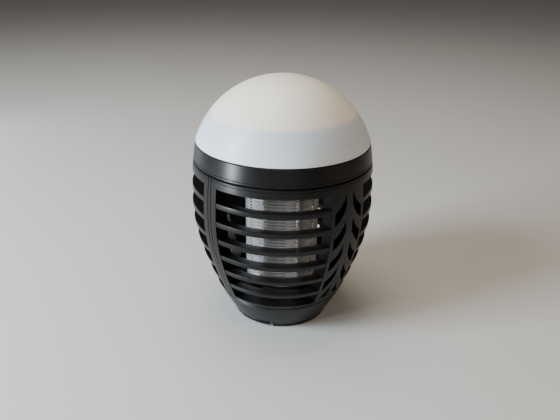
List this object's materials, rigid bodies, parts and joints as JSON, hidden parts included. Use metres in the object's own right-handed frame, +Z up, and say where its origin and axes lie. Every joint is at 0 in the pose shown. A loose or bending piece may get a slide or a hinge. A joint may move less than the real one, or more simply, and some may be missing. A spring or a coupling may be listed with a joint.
{
  "type": "electric bug zapper",
  "caption": "Egg-shaped rechargeable bug zapper: louvred black guard cage around a wire coil, opal lantern dome on top, folding bail and buttons under the base.",
  "frame": {"origin": "centre of the foot ring, on the surface that the object stands on", "axes": "+Z up along the body's axis to the dome, -Y towards the widest view of the front louvred window, +X to the right"},
  "size_m": [0.0896, 0.0896, 0.1235],
  "materials": {
    "opal_dome": "satin opal diffuser",
    "seal_rubber": "matte",
    "white_plastic": "matte white",
    "circuit_board": "green solder mask",
    "black_shell": "satin moulded black",
    "black_inner": "matte moulded black",
    "battery_wrap": "shrink wrap",
    "coil_former": "translucent grey",
    "coil_wire": "drawn wire",
    "light_tube": "lightly frosted clear tube",
    "lead_insulation": "matte",
    "ferrite": "matte",
    "capacitor_sleeve": "gloss sleeve",
    "socket_steel": "pressed sheet",
    "button_cap": "matte",
    "foot_rubber": "matte",
    "pin_steel": "drawn pin",
    "cover_rubber": "matte",
    "lantern_led": "phosphor",
    "uv_led": "clear lens",
    "screw_steel": "zinc plated"
  },
  "bodies": {
    "housing": {"back_louvres": "black_shell", "bail_pin_1": "pin_steel", "bail_pin_2": "pin_steel", "base_cup": "black_shell", "base_screw_1": "screw_steel", "base_screw_2": "screw_steel", "base_screw_3": "screw_steel", "battery_pack": "battery_wrap", "charging_socket": "socket_steel", "coil_former": "coil_former", "coil_wire_a": "coil_wire", "coil_wire_b": "coil_wire", "control_board": "circuit_board", "dome_diffuser": "opal_dome", "dome_seal": "seal_rubber", "foot_ring": "foot_rubber", "front_louvres": "black_shell", "guard_cage": "black_shell", "hv_capacitor": "capacitor_sleeve", "hv_transformer": "ferrite", "lamp_switch": "ferrite", "lantern_board": "circuit_board", "lantern_led_1": "lantern_led", "lantern_led_2": "lantern_led", "lantern_led_3": "lantern_led", "lantern_led_4": "lantern_led", "lantern_led_5": "lantern_led", "lantern_led_6": "lantern_led", "lantern_reflector": "white_plastic", "left_louvres": "black_shell", "light_tube": "light_tube", "lower_deck": "black_inner", "power_lead": "lead_insulation", "right_louvres": "black_shell", "shoulder_ring": "black_shell", "shoulder_screw_1": "screw_steel", "shoulder_screw_2": "screw_steel", "shoulder_screw_3": "screw_steel", "upper_deck": "black_inner", "uv_board": "circuit_board", "uv_led_front_1": "uv_led", "uv_led_front_2": "uv_led", "uv_led_front_3": "uv_led", "uv_led_rear_1": "uv_led", "uv_led_rear_2": "uv_led", "uv_led_rear_3": "uv_led", "zapper_switch": "ferrite"},
    "bail": {"hanging_bail": "black_shell"},
    "lamp_key": {"lamp_button": "button_cap"},
    "zapper_key": {"zapper_button": "button_cap"},
    "port_flap": {"port_cover": "cover_rubber"}
  },
  "joints": [
    {"name": "bail_hinge", "type": "hinge", "parent": "housing", "child": "bail", "pos_m": [0, 0, 0.0029], "axis": [0.9063, -0.4226, 0], "range_deg": [0, 100]},
    {"name": "lamp_button_press", "type": "slide", "parent": "housing", "child": "lamp_key", "axis": [0, 0, 1], "range_m": [0, 0.00035], "stiffness_N_per_m": 600, "springref_m": -0.0003},
    {"name": "zapper_button_press", "type": "slide", "parent": "housing", "child": "zapper_key", "axis": [0, 0, 1], "range_m": [0, 0.00035], "stiffness_N_per_m": 600, "springref_m": -0.0003},
    {"name": "port_cover_hinge", "type": "hinge", "parent": "housing", "child": "port_flap", "pos_m": [0, 0.03432, 0.0077], "axis": [-1, 0, 0], "range_deg": [0, 120]}
  ]
}
